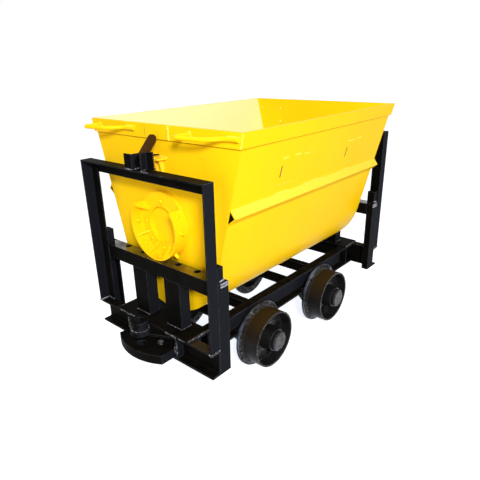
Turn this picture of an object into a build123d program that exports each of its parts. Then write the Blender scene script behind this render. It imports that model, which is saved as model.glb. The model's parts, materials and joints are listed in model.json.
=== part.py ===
"""Side tipping mine cart: a round-bottomed tub that rolls on two rocker rings in a two-axle frame.

Millimetres, +X along the track, +Y to the left, +Z up. Origin on the floor under the middle of the
cart, level with the bottom of the wheel flanges. The cart is alike end for end and side for side, so
most pieces are drawn at the front or at the left and mirrored.
"""

from build123d import *
import math
import os

os.makedirs("parts", exist_ok=True)

# Clearances
SEAT = 0.3
RUNNING = 0.1

# Wheels and axles
WHEELBASE = 590
AXLE_X = WHEELBASE / 2
TREAD_R = 150
FLANGE_R = 176
AXLE_Z = FLANGE_R
AXLE_R = 30
WHEEL_BACK_Y = 264
WHEEL_FACE_Y = 374
FLANGE_THICK = 24
FLANGE_EDGE = 12
RIM_R = 130
RIM_FACE_R = 141
WEB_Y = 306
WEB_THICK = 16
HUB_R = 66
HUB_FACE_R = 58
HUB_BACK_Y = 256
HUB_FACE_Y = 384
CAP_R = 52
CAP_FACE_Y = 408
CAP_EDGE = 7
WHEEL_HOLE_R = 29
WHEEL_HOLE_PITCH_R = 97
WHEEL_HOLES = 4
WHEEL_HOLE_DEG = 75

# Under frame
FRAME_TOP = 352
FRAME_DEPTH = 124
FRAME_BOTTOM = FRAME_TOP - FRAME_DEPTH
FRAME_MID = FRAME_TOP - FRAME_DEPTH / 2
ROOT_R = 8
SILL_TIP_Y = 255
SILL_FLANGE = 53
SILL_ROOT_Y = SILL_TIP_Y - SILL_FLANGE
SILL_WEB = 7
FLANGE_PLATE = 9
SILL_RIB_X = 655
RIB_THICK = 8
X_WEB = 731
HEADSTOCK_FLANGE = 52
HEADSTOCK_WEB = 8
X_TIP = X_WEB + HEADSTOCK_FLANGE
HEADSTOCK_RIB_Y = 170
HALF_WIDTH = 403
CAP_PLATE_THICK = 8
CAP_PLATE_LENGTH = 139
CAP_PLATE_LIP = 2
CAP_PLATE_WIDTH = 500
CROSS_FLANGE = 40
CROSS_DEPTH = 57
CROSS_DROP = 14
CROSS_THICK = 7

# Axle seats under the sills
SEAT_Y = 228
SEAT_THICK = 44
SEAT_TOP_LENGTH = 324
SEAT_LOW_LENGTH = 150
SEAT_DEPTH = 109
SEAT_CORNER_R = 20

# End frame
POST_LEG = 57
POST_THICK = 6
TUB_TOP = 1265
END_DROP = 172
END_TOP = TUB_TOP - END_DROP
SHORT_POST_X = 64
SHORT_POST_Y = 40
SHORT_POST_THICK = 6
BAR_X = X_WEB - SHORT_POST_X / 2
BAR_TOP = 665
BAR_HEIGHT = 69
BAR_WALL = 6
LUG_HEIGHT = 71
LUG_X = 40
LUG_Y = 46
LUG_INSET = 6
INNER_POST_Y = 113
INNER_POST_WIDTH = 100
INNER_POST_DEPTH = 60
INNER_POST_THICK = 6

# Tub
END_GAP = 27
END_X = X_WEB - SHORT_POST_X - END_GAP
END_THICK = 6
SHEET = 5
TUB_R = 325
TUB_CENTRE_Z = 710
FLARE = math.atan(0.25)
BAND_HEIGHT = 62
BAND_THICK = 9
RAIL_Z = 922
RAIL_TOE_PITCH = 70
RAIL_OUT = 34
RAIL_WALL = 7.5

# Rocker rings on the tub's ends
STUDS = 5
STUD_DEG = 45
PIN_PITCH = 121
DRUM_R = PIN_PITCH / math.radians(STUD_DEG)
ROCKER_Z = BAR_TOP + DRUM_R + SEAT
DRUM_WALL = 9
RING_GAP = 13
DRUM_DEPTH = X_WEB - END_X - RING_GAP
DRUM_HALF_DEG = 128
BASE_THICK = 18
COLLAR_R = 95
COLLAR_HOLE_R = 86
COLLAR_LIP = 3
GUSSET_THICK = 8
GUSSET_DEG = (21, 63)
GUSSET_LIP = 5
GUSSET_STEP = 6
GUSSET_INSET = 3
STUD_INSET = 44
STUD_X = X_WEB - STUD_INSET
STUD_R = 10
STUD_TIP_R = 6
STUD_OUT = 22
STUD_IN = 6
STUD_ROOT = 2
PIN_HOLE_R = 16

# Handles on the rim band
HANDLE_R = 9
HANDLE_DROP = 26
HANDLE_Z = TUB_TOP - HANDLE_DROP
HANDLE_PITCH = 610
HANDLE_SHIFT = -28
HANDLE_REACH = 91
HANDLE_SLOPE = 22
HANDLE_GRIP = 146
HANDLE_BEND = 50
HANDLE_FOOT = 72
HANDLE_HOOK_R = 22
HANDLE_BEND_R = 45

# Latch between the top bar and the tub
CLIP_LEG = 50
CLIP_Y = 12
CLIP_INSET = 3
CLIP_HEIGHT = 65
GUIDE_OUT = 10.5
GUIDE_X = X_WEB + GUIDE_OUT
GUIDE_Y = -22
GUIDE_LEG = 40
GUIDE_TURN = math.radians(27)
GUIDE_HEIGHT = 73
LEVER_Y = -5
PIVOT_OUT = 26
PIVOT_UP = 34
PIVOT_X = X_WEB + PIVOT_OUT
PIVOT_Z = END_TOP + PIVOT_UP
LEVER_PIN_R = 7
LEVER_LEAN = math.radians(43)
LEVER_LENGTH = 111
LEVER_WIDTH = 40
LEVER_THICK = 12
NOSE_GAP = 11
NOSE_TIP = 3
NOSE_ROOT = 11
NOSE_LENGTH = 69
CATCH_UP = 27
CATCH_Z = END_TOP + CATCH_UP
CATCH_THICK = 8
NOSE_LIFT = 10
NOSE_Z = CATCH_Z + CATCH_THICK + NOSE_LIFT
CATCH_REACH = 48
CATCH_WIDTH = 92
CATCH_PRONG_Y = 26
CATCH_PRONG_WIDTH = 16
CATCH_NOTCH = 7
CATCH_RIB_Y = 16
CATCH_RIB_SHARE = 0.48
CATCH_RIB_HEIGHT = CATCH_RIB_SHARE * (CATCH_Z - ROCKER_Z - DRUM_R)
CATCH_RIB_REACH = 26
CATCH_RIB_TOE = 10

# Coupler
PIN_REACH = 61
PIN_X = X_TIP + PIN_REACH
PIN_HOLE_R_COUPLER = 22
BOSS_HEIGHT = 56
BOSS_TOP = FRAME_TOP + BOSS_HEIGHT
BOSS_DROP = 4
BOSS_BOTTOM = FRAME_TOP - BOSS_DROP
BOSS_R = 42
BOSS_NECK_R = 36
BOSS_FOOT_R = 46
BOSS_LIP = 12
BOSS_TAPER = 10
COUPLER_PLATE_THICK = 12
COUPLER_WIDTH = 350
BUMPER_BOTTOM = FRAME_BOTTOM + FLANGE_PLATE
BUMPER_THICK = 45
BUMPER_WIDTH = 312
BUMPER_SIDE = 12
BUMPER_SIDE_X = PIN_X + BUMPER_SIDE
BUMPER_REACH = 58
BUMPER_NOSE_X = PIN_X + BUMPER_REACH


def block(x0, x1, y0, y1, z0, z1, mode=Mode.ADD):
    """Box between two corners."""
    with Locations(((x0 + x1) / 2, (y0 + y1) / 2, (z0 + z1) / 2)):
        Box(abs(x1 - x0), abs(y1 - y0), abs(z1 - z0), mode=mode)


def channel_section(height, flange, web, thick):
    """Channel with rounded roots: web on the sketch's y axis, flanges towards +x."""
    Rectangle(flange, height, align=(Align.MIN, Align.CENTER))
    with Locations((web, 0)):
        RectangleRounded(
            2 * flange, height - 2 * thick, ROOT_R, align=(Align.MIN, Align.CENTER), mode=Mode.SUBTRACT
        )


def angle_section(leg_x, leg_y, thick):
    """Angle with a rounded root: heel on the sketch's origin, legs towards +x and +y."""
    Rectangle(leg_x, leg_y, align=(Align.MIN, Align.MIN))
    with Locations((thick, thick)):
        RectangleRounded(
            2 * leg_x, 2 * leg_y, ROOT_R, align=(Align.MIN, Align.MIN), mode=Mode.SUBTRACT
        )


def half_width(z, inset=0.0):
    """Half width of the tub's flared side at height z, measured at the sheet's outside less the inset."""
    r = TUB_R - inset
    z_tangent = TUB_CENTRE_Z - r * math.sin(FLARE)
    return r * math.cos(FLARE) + (z - z_tangent) * math.tan(FLARE)


def tub_body(inset, z_top, half_length):
    """Solid prism of the tub's section: round bottom between two flared sides."""
    r = TUB_R - inset
    y_tangent = r * math.cos(FLARE)
    z_tangent = TUB_CENTRE_Z - r * math.sin(FLARE)
    y_top = half_width(z_top, inset)
    with BuildPart(mode=Mode.PRIVATE) as body:
        with BuildSketch(Plane.YZ.offset(-half_length)):
            with BuildLine():
                ThreePointArc((-y_tangent, z_tangent), (0, TUB_CENTRE_Z - r), (y_tangent, z_tangent))
                Polyline((y_tangent, z_tangent), (y_top, z_top), (-y_top, z_top), (-y_tangent, z_tangent))
            make_face()
        extrude(amount=2 * half_length)
    return body.part


def save(part, label):
    part.label = label
    export_step(part, f"parts/{label}.step")


def save_ends(part, label):
    """Writes a piece of the front end and its mirror image at the rear end."""
    save(part, f"{label}_front")
    save(mirror(part, about=Plane.YZ), f"{label}_rear")


def save_sides(part, label):
    """Writes a piece of the left side and its mirror image at the right."""
    save(part, f"{label}_left")
    save(mirror(part, about=Plane.XZ), f"{label}_right")


# Sills: channels with their flanges outward, each with a stiffener near both ends
with BuildPart() as sill:
    with BuildSketch(Plane.YZ.offset(-X_WEB)):
        with Locations((SILL_ROOT_Y, FRAME_MID)):
            channel_section(FRAME_DEPTH, SILL_FLANGE, SILL_WEB, FLANGE_PLATE)
    extrude(amount=2 * X_WEB)
    for x in (-SILL_RIB_X, SILL_RIB_X):
        block(x - RIB_THICK / 2, x + RIB_THICK / 2, SILL_ROOT_Y, SILL_TIP_Y, FRAME_BOTTOM, FRAME_TOP)
save_sides(sill.part, "sill")

# Cross members between the sills, one above each axle
with BuildPart() as cross:
    cross_z = FRAME_TOP - CROSS_DROP - CROSS_DEPTH / 2
    with BuildSketch(Plane.XZ.offset(-SILL_ROOT_Y)):
        with Locations((AXLE_X - CROSS_FLANGE / 2, cross_z)):
            channel_section(CROSS_DEPTH, CROSS_FLANGE, CROSS_THICK, CROSS_THICK)
    extrude(amount=2 * SILL_ROOT_Y)
    mirror(about=Plane.YZ)
save(cross.part, "cross_members")

# Headstock: channel across the end with two ribs behind the coupler plate's corners
with BuildPart() as headstock:
    with BuildSketch(Plane.XZ.offset(-HALF_WIDTH)):
        with Locations((X_WEB, FRAME_MID)):
            channel_section(FRAME_DEPTH, HEADSTOCK_FLANGE, HEADSTOCK_WEB, FLANGE_PLATE)
    extrude(amount=2 * HALF_WIDTH)
    for y in (-HEADSTOCK_RIB_Y, HEADSTOCK_RIB_Y):
        block(X_WEB, X_TIP, y - RIB_THICK / 2, y + RIB_THICK / 2, FRAME_BOTTOM, FRAME_TOP)
save_ends(headstock.part, "headstock")

# Cap plate over the headstock and the sills' ends
with BuildPart() as cap_plate:
    x_out = X_TIP + CAP_PLATE_LIP
    y_edge = CAP_PLATE_WIDTH / 2
    block(x_out - CAP_PLATE_LENGTH, x_out, -y_edge, y_edge, FRAME_TOP, FRAME_TOP + CAP_PLATE_THICK)
save_ends(cap_plate.part, "cap_plate")

# Corner posts and top bar: one angle section, mitred where they meet
mitre = Plane((0, HALF_WIDTH, END_TOP), x_dir=(1, 0, 0), z_dir=(0, 1, -1))
with BuildPart() as posts:
    with BuildSketch(Plane((X_WEB, HALF_WIDTH, END_TOP), x_dir=(1, 0, 0), z_dir=(0, 0, -1))):
        angle_section(POST_LEG, POST_LEG, POST_THICK)
    extrude(amount=END_TOP - FRAME_TOP)
    split(bisect_by=mitre, keep=Keep.TOP)
    mirror(about=Plane.XZ)
save_ends(posts.part, "end_posts")

with BuildPart() as top_bar:
    with BuildSketch(Plane((X_WEB, 0, END_TOP), x_dir=(1, 0, 0), z_dir=(0, 1, 0))):
        angle_section(POST_LEG, POST_LEG, POST_THICK)
    extrude(amount=HALF_WIDTH)
    split(bisect_by=mitre, keep=Keep.BOTTOM)
    mirror(about=Plane.XZ)
save_ends(top_bar.part, "top_bar")

# Short posts behind the long ones: capped channels, each with the stop lug on its head
with BuildPart() as short_posts:
    with BuildSketch(Plane((BAR_X, HALF_WIDTH, FRAME_BOTTOM), x_dir=(0, -1, 0), z_dir=(0, 0, 1))):
        channel_section(SHORT_POST_X, SHORT_POST_Y, SHORT_POST_THICK, SHORT_POST_THICK)
    extrude(amount=BAR_TOP - FRAME_BOTTOM)
    y_in = HALF_WIDTH - SHORT_POST_Y
    block(X_WEB - SHORT_POST_X, X_WEB, y_in, HALF_WIDTH, BAR_TOP - SHORT_POST_THICK, BAR_TOP)
    y_lug = HALF_WIDTH - LUG_INSET
    block(X_WEB - LUG_X, X_WEB, y_lug - LUG_Y, y_lug, BAR_TOP, BAR_TOP + LUG_HEIGHT)
    mirror(about=Plane.XZ)
save_ends(short_posts.part, "short_posts")

# Rocker bars: box section with a row of holes for the rings' studs
with BuildPart() as bars:
    with BuildSketch(Plane.XZ.offset(-y_in)):
        with Locations((BAR_X, BAR_TOP - BAR_HEIGHT / 2)):
            Rectangle(SHORT_POST_X, BAR_HEIGHT)
            Rectangle(SHORT_POST_X - 2 * BAR_WALL, BAR_HEIGHT - 2 * BAR_WALL, mode=Mode.SUBTRACT)
    extrude(amount=2 * y_in)
    with BuildSketch(Plane.XY.offset(BAR_TOP)):
        with Locations((STUD_X, 0)):
            with GridLocations(PIN_PITCH, PIN_PITCH, 1, STUDS):
                Circle(PIN_HOLE_R)
    extrude(amount=-2 * BAR_WALL, mode=Mode.SUBTRACT)
    mirror(about=Plane.YZ)
save(bars.part, "rocker_bars")

# Inner posts: channels between the cap plate and the rocker bar
with BuildPart() as inner_posts:
    z_foot = FRAME_TOP + CAP_PLATE_THICK
    with BuildSketch(Plane((X_WEB, INNER_POST_Y, z_foot), x_dir=(-1, 0, 0), z_dir=(0, 0, 1))):
        channel_section(INNER_POST_WIDTH, INNER_POST_DEPTH, INNER_POST_THICK, INNER_POST_THICK)
    extrude(amount=BAR_TOP - BAR_HEIGHT - z_foot)
    mirror(about=Plane.XZ)
save_ends(inner_posts.part, "inner_posts")

# Latch brackets: an angle clip at the top bar's edge and a turned guide angle, the lever's slot between
guide_out = (math.cos(GUIDE_TURN), -math.sin(GUIDE_TURN), 0)
with BuildPart() as brackets:
    clip_x = X_WEB + POST_LEG - CLIP_INSET
    with BuildSketch(Plane((clip_x, CLIP_Y, END_TOP + CLIP_HEIGHT), x_dir=(-1, 0, 0), z_dir=(0, 0, -1))):
        angle_section(CLIP_LEG, CLIP_LEG, POST_THICK)
    extrude(amount=CLIP_HEIGHT)
    guide_top = (GUIDE_X, GUIDE_Y, END_TOP + GUIDE_HEIGHT)
    with BuildSketch(Plane(guide_top, x_dir=guide_out, z_dir=(0, 0, -1))):
        angle_section(CLIP_LEG, GUIDE_LEG, POST_THICK)
    extrude(amount=GUIDE_HEIGHT)
save_ends(brackets.part, "latch_brackets")

# Latch levers: flat round-ended bars leaning over the catches, each with its nose and pivot pin
with BuildPart() as levers:
    along = (-math.sin(LEVER_LEAN), 0, math.cos(LEVER_LEAN))
    with BuildSketch(Plane((PIVOT_X, LEVER_Y, PIVOT_Z), x_dir=along, z_dir=(0, 1, 0))):
        with Locations((LEVER_LENGTH / 2, 0)):
            SlotCenterToCenter(LEVER_LENGTH, LEVER_WIDTH)
    extrude(amount=LEVER_THICK / 2, both=True)
    nose_x = END_X + NOSE_GAP
    with BuildSketch(Plane.XZ.offset(-LEVER_Y)):
        Polygon(
            (nose_x, NOSE_Z),
            (nose_x + NOSE_LENGTH, NOSE_Z),
            (nose_x + NOSE_LENGTH, NOSE_Z + NOSE_ROOT),
            (nose_x, NOSE_Z + NOSE_TIP),
        )
    extrude(amount=LEVER_THICK / 2, both=True)
    pin_left = CLIP_Y - SEAT
    pin_right = GUIDE_Y - (PIVOT_X - LEVER_PIN_R - GUIDE_X) * math.tan(GUIDE_TURN) + SEAT
    with BuildSketch(Plane.XZ.offset(-pin_left)):
        with Locations((PIVOT_X, PIVOT_Z)):
            Circle(LEVER_PIN_R)
    extrude(amount=pin_left - pin_right)
    mirror(about=Plane.YZ)
save(levers.part, "latch_levers")

# Coupler plates with the pin boss
with BuildPart() as couplers:
    with BuildSketch(Plane.XY.offset(FRAME_TOP)):
        y_root = COUPLER_WIDTH / 2
        Polygon((X_TIP, -y_root), (PIN_X, -BOSS_FOOT_R), (PIN_X, BOSS_FOOT_R), (X_TIP, y_root))
        with Locations((PIN_X, 0)):
            Circle(BOSS_FOOT_R)
    extrude(amount=-COUPLER_PLATE_THICK)
    with BuildSketch(Plane.XZ):
        with Locations((PIN_X, 0)):
            Polygon(
                (0, BOSS_BOTTOM),
                (BOSS_FOOT_R, BOSS_BOTTOM),
                (BOSS_FOOT_R, BOSS_BOTTOM + BOSS_LIP),
                (BOSS_NECK_R, BOSS_BOTTOM + BOSS_LIP + BOSS_TAPER),
                (BOSS_NECK_R, BOSS_TOP - BOSS_LIP - BOSS_TAPER),
                (BOSS_R, BOSS_TOP - BOSS_LIP),
                (BOSS_R, BOSS_TOP),
                (0, BOSS_TOP),
            )
    revolve(axis=Axis((PIN_X, 0, 0), (0, 0, 1)))
    with Locations((PIN_X, 0, FRAME_TOP)):
        Cylinder(PIN_HOLE_R_COUPLER, 2 * (BOSS_TOP - BOSS_BOTTOM), mode=Mode.SUBTRACT)
    mirror(about=Plane.YZ)
save(couplers.part, "coupler_plates")

# Bumpers: thick plates with a curved nose on the headstocks' lower flanges
with BuildPart() as bumpers:
    with BuildSketch(Plane.XY.offset(BUMPER_BOTTOM)):
        x_root = X_WEB + HEADSTOCK_WEB + ROOT_R
        y_side = BUMPER_WIDTH / 2
        with BuildLine():
            Polyline((BUMPER_SIDE_X, y_side), (x_root, y_side), (x_root, -y_side), (BUMPER_SIDE_X, -y_side))
            ThreePointArc((BUMPER_SIDE_X, -y_side), (BUMPER_NOSE_X, 0), (BUMPER_SIDE_X, y_side))
        make_face()
        with Locations((PIN_X, 0)):
            Circle(PIN_HOLE_R_COUPLER, mode=Mode.SUBTRACT)
    extrude(amount=BUMPER_THICK)
    mirror(about=Plane.YZ)
save(bumpers.part, "bumpers")

# Axle seats: tapered plates under the sills
with BuildPart() as seats:
    with BuildSketch(Plane.XZ.offset(-(SEAT_Y + SEAT_THICK / 2))) as seat_face:
        top = SEAT_TOP_LENGTH / 2
        low = SEAT_LOW_LENGTH / 2
        Polygon(
            (AXLE_X - low, FRAME_BOTTOM - SEAT_DEPTH),
            (AXLE_X + low, FRAME_BOTTOM - SEAT_DEPTH),
            (AXLE_X + top, FRAME_BOTTOM),
            (AXLE_X - top, FRAME_BOTTOM),
        )
        fillet(seat_face.vertices().group_by(Axis.Y)[0], SEAT_CORNER_R)
        with Locations((AXLE_X, AXLE_Z)):
            Circle(AXLE_R + RUNNING, mode=Mode.SUBTRACT)
    extrude(amount=SEAT_THICK)
    mirror(about=Plane.XZ)
    mirror(about=Plane.YZ)
save(seats.part, "axle_seats")

# Axle
with BuildPart() as axle:
    with Locations(Location((AXLE_X, 0, AXLE_Z), (90, 0, 0))):
        Cylinder(AXLE_R, 2 * HUB_FACE_Y)
save_ends(axle.part, "axle")

# Wheels: dished web with four holes, flange at the back, hub with its cap
with BuildPart() as wheels:
    with BuildSketch(Plane.XY.offset(AXLE_Z)):
        with Locations((AXLE_X, 0)):
            Polygon(
                (AXLE_R + SEAT, HUB_BACK_Y),
                (HUB_R, HUB_BACK_Y),
                (HUB_R, WEB_Y),
                (RIM_R, WEB_Y),
                (RIM_R, WHEEL_BACK_Y),
                (FLANGE_R, WHEEL_BACK_Y),
                (FLANGE_R, WHEEL_BACK_Y + FLANGE_EDGE),
                (TREAD_R, WHEEL_BACK_Y + FLANGE_THICK),
                (TREAD_R, WHEEL_FACE_Y),
                (RIM_FACE_R, WHEEL_FACE_Y),
                (RIM_R, WEB_Y + WEB_THICK),
                (HUB_R, WEB_Y + WEB_THICK),
                (HUB_FACE_R, HUB_FACE_Y),
                (CAP_R, HUB_FACE_Y),
                (CAP_R, CAP_FACE_Y - CAP_EDGE),
                (CAP_R - CAP_EDGE, CAP_FACE_Y),
                (0, CAP_FACE_Y),
                (0, HUB_FACE_Y + SEAT),
                (AXLE_R + SEAT, HUB_FACE_Y + SEAT),
            )
    revolve(axis=Axis((AXLE_X, 0, AXLE_Z), (0, 1, 0)))
    with Locations(Location((AXLE_X, WEB_Y, AXLE_Z), (90, 0, 0))):
        with PolarLocations(WHEEL_HOLE_PITCH_R, WHEEL_HOLES, start_angle=WHEEL_HOLE_DEG):
            Cylinder(WHEEL_HOLE_R, 4 * WEB_THICK, mode=Mode.SUBTRACT)
    mirror(about=Plane.XZ)
save_ends(wheels.part, "wheels")

# Tub shell: round bottom and flared sides, open at both ends for the end walls
with BuildPart() as shell:
    add(tub_body(0, TUB_TOP, END_X - END_THICK))
    add(tub_body(SHEET, TUB_TOP + SHEET, END_X), mode=Mode.SUBTRACT)
save(shell.part, "tub_shell")

# Tub end wall
with BuildPart() as end_wall:
    add(tub_body(0, TUB_TOP, END_X))
    split(bisect_by=Plane.YZ.offset(END_X - END_THICK), keep=Keep.TOP)
save_ends(end_wall.part, "tub_end")

# Rim band round the top
with BuildPart() as band:
    add(tub_body(-BAND_THICK, TUB_TOP, END_X + BAND_THICK))
    split(bisect_by=Plane.XY.offset(TUB_TOP - BAND_HEIGHT), keep=Keep.TOP)
    add(tub_body(0, TUB_TOP + BAND_THICK, END_X), mode=Mode.SUBTRACT)
save(band.part, "rim_band")

# Side rails: angle strips with both toes on the flared side
with BuildPart() as rail:
    z_hi = RAIL_Z + RAIL_TOE_PITCH / 2
    z_lo = RAIL_Z - RAIL_TOE_PITCH / 2
    y_apex = half_width(RAIL_Z) + RAIL_OUT
    with BuildSketch(Plane.YZ.offset(-(END_X - END_THICK))):
        Polygon(
            (half_width(z_lo), z_lo),
            (y_apex, RAIL_Z),
            (half_width(z_hi), z_hi),
            (half_width(z_hi - RAIL_WALL), z_hi - RAIL_WALL),
            (y_apex - RAIL_WALL, RAIL_Z),
            (half_width(z_lo + RAIL_WALL), z_lo + RAIL_WALL),
        )
    extrude(amount=2 * (END_X - END_THICK))
save_sides(rail.part, "side_rail")

# Rocker rings, drawn looking along the cart with x straight down from the ring's axis
ring_plane = Plane((END_X, 0, ROCKER_Z), x_dir=(0, 0, -1), z_dir=(1, 0, 0))


def spoke(deg):
    """Plane through the ring's axis, turned from straight down: x outward, y away from the tub."""
    turn = math.radians(deg)
    outward = (0, math.sin(turn), -math.cos(turn))
    return Plane(ring_plane.origin, x_dir=outward, z_dir=(0, -math.cos(turn), -math.sin(turn)))


with BuildPart() as rings:
    # Base plate and drum
    with BuildSketch(ring_plane):
        Circle(DRUM_R)
    extrude(amount=BASE_THICK)
    with BuildSketch(ring_plane):
        with BuildLine():
            outer = CenterArc((0, 0), DRUM_R, -DRUM_HALF_DEG, 2 * DRUM_HALF_DEG)
            inner = CenterArc((0, 0), DRUM_R - DRUM_WALL, -DRUM_HALF_DEG, 2 * DRUM_HALF_DEG)
            Line(outer @ 0, inner @ 0)
            Line(outer @ 1, inner @ 1)
        make_face()
    extrude(amount=DRUM_DEPTH)

    # Gussets from the collar's seat to the drum
    end_deg = DRUM_HALF_DEG - math.degrees(GUSSET_THICK / 2 / (DRUM_R - DRUM_WALL))
    for deg in [side * turn for turn in (*GUSSET_DEG, end_deg) for side in (-1, 1)]:
        with BuildSketch(spoke(deg)):
            Polygon(
                (COLLAR_R + GUSSET_LIP, 0),
                (COLLAR_R + GUSSET_LIP, BASE_THICK + GUSSET_STEP),
                (DRUM_R - DRUM_WALL - GUSSET_STEP, DRUM_DEPTH - GUSSET_INSET),
                (DRUM_R - DRUM_WALL / 2, DRUM_DEPTH - GUSSET_INSET),
                (DRUM_R - DRUM_WALL / 2, 0),
            )
        extrude(amount=GUSSET_THICK / 2, both=True)

    # Studs through the drum: flat head inside, tapered tip outside
    for k in range(STUDS):
        turned = spoke((k - STUDS // 2) * STUD_DEG)
        root = STUD_X - END_X
        with BuildSketch(turned):
            Polygon(
                (DRUM_R - DRUM_WALL - STUD_IN, root),
                (DRUM_R - DRUM_WALL - STUD_IN, root + STUD_R),
                (DRUM_R - STUD_ROOT, root + STUD_R),
                (DRUM_R + STUD_OUT, root + STUD_TIP_R),
                (DRUM_R + STUD_OUT, root),
            )
        revolve(axis=Axis(turned.from_local_coords((0, root, 0)), turned.x_dir))

    # Seat for the collar
    with BuildSketch(ring_plane):
        Circle(COLLAR_R + RUNNING)
    extrude(amount=DRUM_DEPTH, mode=Mode.SUBTRACT)
    mirror(about=Plane.YZ)
save(rings.part, "rocker_rings")

# Collars in the middle of the rocker rings
with BuildPart() as collars:
    with BuildSketch(ring_plane.offset(SEAT)):
        Circle(COLLAR_R)
        Circle(COLLAR_HOLE_R, mode=Mode.SUBTRACT)
    extrude(amount=BASE_THICK + COLLAR_LIP)
    mirror(about=Plane.YZ)
save(collars.part, "rocker_collars")

# Handles: bent round bar with one end square to the band and one foot along it
with BuildPart() as handles:
    band_x = END_X + BAND_THICK
    grip_x = band_x + HANDLE_REACH
    y_hook = (HANDLE_GRIP + HANDLE_BEND + HANDLE_FOOT) / 2
    y_grip = y_hook - HANDLE_GRIP
    y_foot = y_grip - HANDLE_BEND
    for y in (HANDLE_SHIFT - HANDLE_PITCH / 2, HANDLE_SHIFT + HANDLE_PITCH / 2):
        with BuildLine(Plane((0, y, HANDLE_Z))):
            FilletPolyline(
                (band_x, y_hook),
                (grip_x, y_hook),
                (grip_x - HANDLE_SLOPE, y_grip),
                (band_x + HANDLE_R, y_foot),
                (band_x + HANDLE_R, y_foot - HANDLE_FOOT),
                radius=(HANDLE_HOOK_R, HANDLE_BEND_R, HANDLE_BEND_R),
            )
        with BuildSketch(Plane((band_x, y + y_hook, HANDLE_Z), z_dir=(1, 0, 0))):
            Circle(HANDLE_R)
        sweep()
    mirror(about=Plane.YZ)
save(handles.part, "handles")

# Catches on the tub's end walls: notched plate on two ribs
with BuildPart() as catch:
    x_prong = END_X + CATCH_REACH
    prong_out = CATCH_PRONG_Y + CATCH_PRONG_WIDTH / 2
    prong_in = CATCH_PRONG_Y - CATCH_PRONG_WIDTH / 2
    with BuildSketch(Plane.XY.offset(CATCH_Z)):
        Polygon(
            (END_X, -CATCH_WIDTH / 2),
            (x_prong, -prong_out),
            (x_prong, -prong_in),
            (END_X + CATCH_NOTCH, 0),
            (x_prong, prong_in),
            (x_prong, prong_out),
            (END_X, CATCH_WIDTH / 2),
        )
    extrude(amount=CATCH_THICK)
    for y in (-CATCH_RIB_Y, CATCH_RIB_Y):
        with BuildSketch(Plane.XZ.offset(-y)):
            Polygon(
                (END_X, CATCH_Z - CATCH_RIB_HEIGHT),
                (END_X + CATCH_RIB_TOE, CATCH_Z - CATCH_RIB_HEIGHT),
                (END_X + CATCH_RIB_REACH, CATCH_Z),
                (END_X, CATCH_Z),
            )
        extrude(amount=CATCH_THICK / 2, both=True)
save_ends(catch.part, "catch")
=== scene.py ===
# %% [markdown]
# # A side tipping mine cart
# The cart's steelwork is already modelled and arrives as a fixed frame of named pieces. This lesson
# gives it what the solids don't carry: paint, weld beads, rivets, bolts, a camera and soft light.
# Every length is in metres, X runs along the track, Y to the cart's left and Z up.

# %% Load the frame
import json
import math
import random

import bpy
from mathutils import Matrix, Vector


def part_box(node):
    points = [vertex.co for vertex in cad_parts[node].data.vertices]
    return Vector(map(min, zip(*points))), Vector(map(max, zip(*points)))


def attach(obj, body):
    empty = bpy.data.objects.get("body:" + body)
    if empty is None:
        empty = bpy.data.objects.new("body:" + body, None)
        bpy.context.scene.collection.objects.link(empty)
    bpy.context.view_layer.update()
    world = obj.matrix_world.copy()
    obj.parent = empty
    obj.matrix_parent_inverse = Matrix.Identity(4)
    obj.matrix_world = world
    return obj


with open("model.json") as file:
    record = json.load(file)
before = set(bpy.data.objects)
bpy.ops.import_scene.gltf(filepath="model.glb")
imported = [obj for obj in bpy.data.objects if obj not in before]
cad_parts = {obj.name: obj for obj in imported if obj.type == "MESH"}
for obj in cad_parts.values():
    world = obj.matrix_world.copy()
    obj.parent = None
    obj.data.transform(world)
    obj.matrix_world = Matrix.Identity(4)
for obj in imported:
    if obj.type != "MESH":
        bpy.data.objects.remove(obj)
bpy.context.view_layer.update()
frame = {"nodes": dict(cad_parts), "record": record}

nodes = frame["nodes"]
ENDS = {"rear": -1, "front": 1}
SIDES = {"right": -1, "left": 1}
BOTH_SIDES = tuple(SIDES.values())
MM = 0.001
random.seed(7)
print("pieces in the frame:", len(nodes))

# %% [markdown]
# ## Where things are
# A bead or a bolt sits on the steel that carries it, so its place is read from the frame's boxes
# where a box gives it. Pieces are placed in the front left quarter of the cart, where X and Y are
# positive, and the cart's symmetry carries them to the other three by changing signs.

# %% Read places from the frame
def far(node):
    """Highest corner of a piece, in metres."""
    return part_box(node)[1]


def near(node):
    """Lowest corner of a piece, in metres."""
    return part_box(node)[0]


WEB_X = near("headstock_front").x
TIP_X = far("headstock_front").x
HALF_Y = far("headstock_front").y
FRAME_TOP = far("headstock_front").z
FRAME_LOW = near("headstock_front").z
END_TOP = far("end_posts_front").z
WALL_X = far("tub_end_front").x
BAND_X = far("rim_band").x
RIM_TOP = far("rim_band").z
BAND_LOW = near("rim_band").z
BAR_TOP = far("rocker_bars").z
RING_Z = (near("rocker_collars").z + far("rocker_collars").z) / 2
CAP_TOP = far("cap_plate_front").z
CAP_X = far("cap_plate_front").x
CAP_Y = far("cap_plate_front").y
INNER_Y = far("inner_posts_front").y
SHELL_Y = far("tub_shell").y
FLARE = 0.25
SHEET = 6 * MM


def side_y(z):
    """How far out the tub's flared side stands at height z."""
    return SHELL_Y - (RIM_TOP - z) * FLARE


def flip(point, end, side):
    """A point of the front left quarter carried to another quarter by signs of X and Y."""
    x, y, z = point
    return (x * end, y * side, z)


print("end wall at", round(WALL_X, 4), "ring axis at", round(RING_Z, 4))
print("side at the rim", round(side_y(RIM_TOP), 4), "and at the frame", round(side_y(BAR_TOP), 4))

# %% [markdown]
# ## Camera
# The viewpoint stands off one corner, a little above the rim. Azimuth, elevation and roll turn the
# camera's axes; the focal length is worked out from the picture's width of 480 pixels.

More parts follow.
